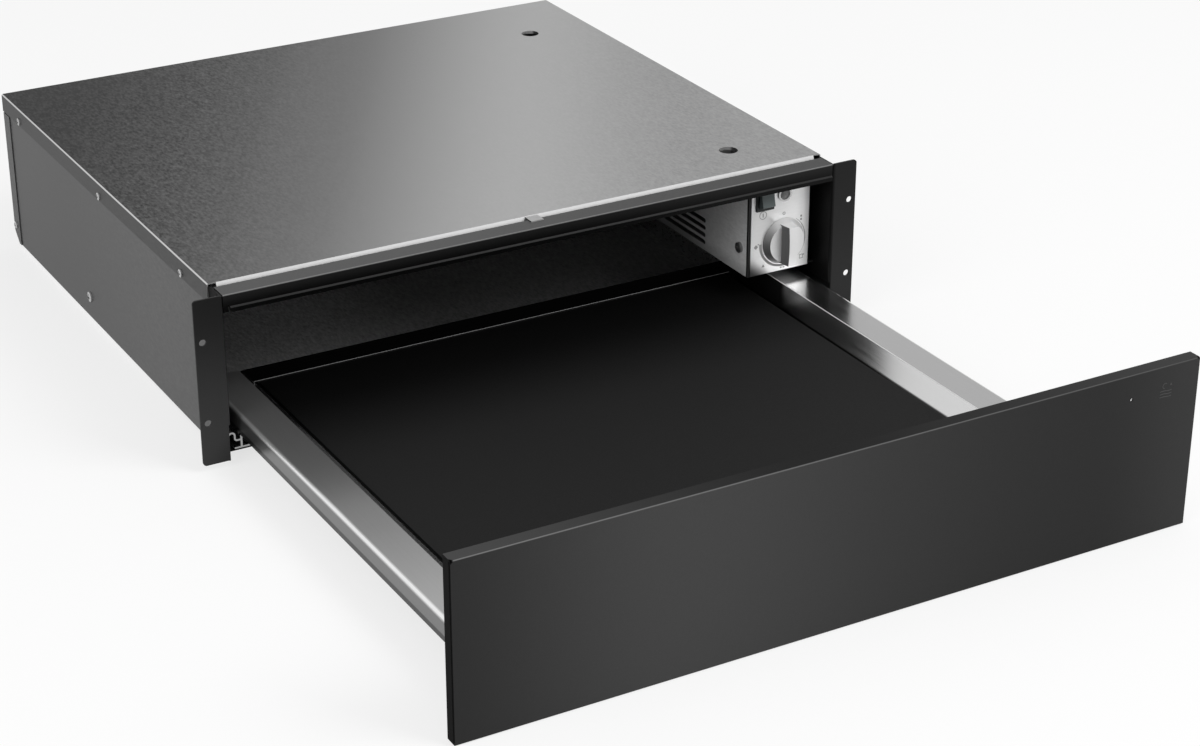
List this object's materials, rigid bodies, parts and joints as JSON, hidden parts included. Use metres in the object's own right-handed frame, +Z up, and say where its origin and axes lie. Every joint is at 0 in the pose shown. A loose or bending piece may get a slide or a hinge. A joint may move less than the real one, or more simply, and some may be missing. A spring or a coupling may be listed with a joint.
{
  "type": "built-in warming drawer",
  "caption": "Low built-in warming drawer: sheet steel casing with front frame and side controls, and a shallow tray behind a plain front panel on telescopic slides.",
  "frame": {"origin": "middle of the casing's underside, which stands on the cupboard's floor", "axes": "+X to the right seen from the front, +Y to the back, +Z up; the drawer opens along -Y"},
  "size_m": [0.594, 0.939, 0.1426],
  "materials": {
    "galvanised": "galvanised sheet with a fine mottled grain",
    "box_steel": "dull galvanised sheet",
    "black_frame": "satin black coating",
    "screw_zinc": "bright zinc",
    "stainless": "brushed stainless",
    "control_steel": "brushed stainless",
    "black_panel": "satin anthracite coating",
    "carrier_steel": "satin black coating",
    "mat_rubber": "matt black with a fine grain",
    "bumper_rubber": "matt black",
    "black_plastic": "matt black",
    "switch_plastic": "dark grey",
    "rocker_plastic": "grey with a green tint",
    "silver_knob": "satin silver",
    "lamp_chrome": "polished",
    "lamp_lens": "grey translucent",
    "clear_plastic": "clear",
    "brass": "turned",
    "ceramic": "off-white",
    "fan_steel": "galvanised sheet",
    "motor_iron": "dark laminations",
    "heater_steel": "heat-tinted tube",
    "cable_grey": "light grey sleeve",
    "slide_zinc": "bright zinc",
    "cage_steel": "pressed steel",
    "ball_steel": "polished",
    "white_plastic": "white"
  },
  "bodies": {
    "casing": {"base_pan": "galvanised", "top_cover": "galvanised", "rear_panel": "galvanised", "front_crossbar": "black_frame", "left_ear": "black_frame", "right_ear": "black_frame", "casing_screws": "screw_zinc", "frame_screws": "screw_zinc", "slide_screws": "screw_zinc", "control_box": "box_steel", "box_partitions": "box_steel", "control_bezel": "black_plastic", "control_plate": "control_steel", "box_screws": "screw_zinc", "switch_body": "switch_plastic", "lamp_bezel": "lamp_chrome", "lamp_lens": "lamp_lens", "heat_regulator": "ceramic", "terminal_block": "ceramic", "cable_gland": "black_plastic", "gland_nut": "black_plastic", "fan_housing": "fan_steel", "fan_motor": "motor_iron", "air_heater": "heater_steel", "thermal_cutout": "fan_steel", "wiring_loom": "cable_grey", "loom_clips": "cable_grey", "fixed_rail_left": "slide_zinc", "fixed_rail_right": "slide_zinc", "push_latch_left": "black_plastic", "push_latch_right": "black_plastic"},
    "drawer": {"tray_pan": "stainless", "tray_rear_wall": "stainless", "tray_mat": "mat_rubber", "panel_skin": "black_panel", "panel_carrier": "carrier_steel", "panel_screws": "screw_zinc", "light_guide": "clear_plastic", "panel_bumpers": "bumper_rubber", "drawer_rail_left": "slide_zinc", "drawer_rail_right": "slide_zinc"},
    "middle_left": {"middle_rail_left": "slide_zinc"},
    "middle_right": {"middle_rail_right": "slide_zinc"},
    "lower_balls_left": {"lower_cage_left": "cage_steel", "lower_balls_left": "ball_steel"},
    "lower_balls_right": {"lower_cage_right": "cage_steel", "lower_balls_right": "ball_steel"},
    "upper_balls_left": {"upper_cage_left": "cage_steel", "upper_balls_left": "ball_steel"},
    "upper_balls_right": {"upper_cage_right": "cage_steel", "upper_balls_right": "ball_steel"},
    "knob": {"control_knob": "silver_knob", "knob_shaft": "brass"},
    "rocker": {"switch_rocker": "rocker_plastic"},
    "fan": {"fan_wheel": "fan_steel", "fan_shaft": "fan_steel"},
    "plunger_left": {"latch_plunger_left": "white_plastic"},
    "plunger_right": {"latch_plunger_right": "white_plastic"}
  },
  "joints": [
    {"name": "drawer_slide", "type": "slide", "parent": "casing", "child": "drawer", "axis": [0, 1, 0], "range_m": [0, 0.413]},
    {"name": "middle_left_slide", "type": "slide", "parent": "casing", "child": "middle_left", "axis": [0, 1, 0], "range_m": [0, 0.207]},
    {"name": "lower_balls_left_slide", "type": "slide", "parent": "casing", "child": "lower_balls_left", "axis": [0, 1, 0], "range_m": [0, 0.10375]},
    {"name": "upper_balls_left_slide", "type": "slide", "parent": "casing", "child": "upper_balls_left", "axis": [0, 1, 0], "range_m": [0, 0.31025]},
    {"name": "middle_right_slide", "type": "slide", "parent": "casing", "child": "middle_right", "axis": [0, 1, 0], "range_m": [0, 0.207]},
    {"name": "lower_balls_right_slide", "type": "slide", "parent": "casing", "child": "lower_balls_right", "axis": [0, 1, 0], "range_m": [0, 0.10375]},
    {"name": "upper_balls_right_slide", "type": "slide", "parent": "casing", "child": "upper_balls_right", "axis": [0, 1, 0], "range_m": [0, 0.31025]},
    {"name": "knob_turn", "type": "hinge", "parent": "casing", "child": "knob", "pos_m": [0.237, -0.25085, 0.0691], "axis": [0, 1, 0], "range_deg": [0, 270]},
    {"name": "switch_rock", "type": "hinge", "parent": "casing", "child": "rocker", "pos_m": [0.2177, -0.24225, 0.1137], "axis": [1, 0, 0], "range_deg": [0, 14]},
    {"name": "fan_spin", "type": "hinge", "parent": "casing", "child": "fan", "pos_m": [0.2278, 0.02315, 0.0895], "axis": [1, 0, 0], "continuous": true},
    {"name": "plunger_left_push", "type": "slide", "parent": "casing", "child": "plunger_left", "axis": [0, 1, 0], "range_m": [0, 0.004], "stiffness_N_per_m": 250},
    {"name": "plunger_right_push", "type": "slide", "parent": "casing", "child": "plunger_right", "axis": [0, 1, 0], "range_m": [0, 0.004], "stiffness_N_per_m": 250}
  ],
  "couplings": [
    {"joint": "middle_left_slide", "follows": "drawer_slide", "ratio": 0.5},
    {"joint": "lower_balls_left_slide", "follows": "drawer_slide", "ratio": 0.25},
    {"joint": "upper_balls_left_slide", "follows": "drawer_slide", "ratio": 0.75},
    {"joint": "middle_right_slide", "follows": "drawer_slide", "ratio": 0.5},
    {"joint": "lower_balls_right_slide", "follows": "drawer_slide", "ratio": 0.25},
    {"joint": "upper_balls_right_slide", "follows": "drawer_slide", "ratio": 0.75}
  ]
}
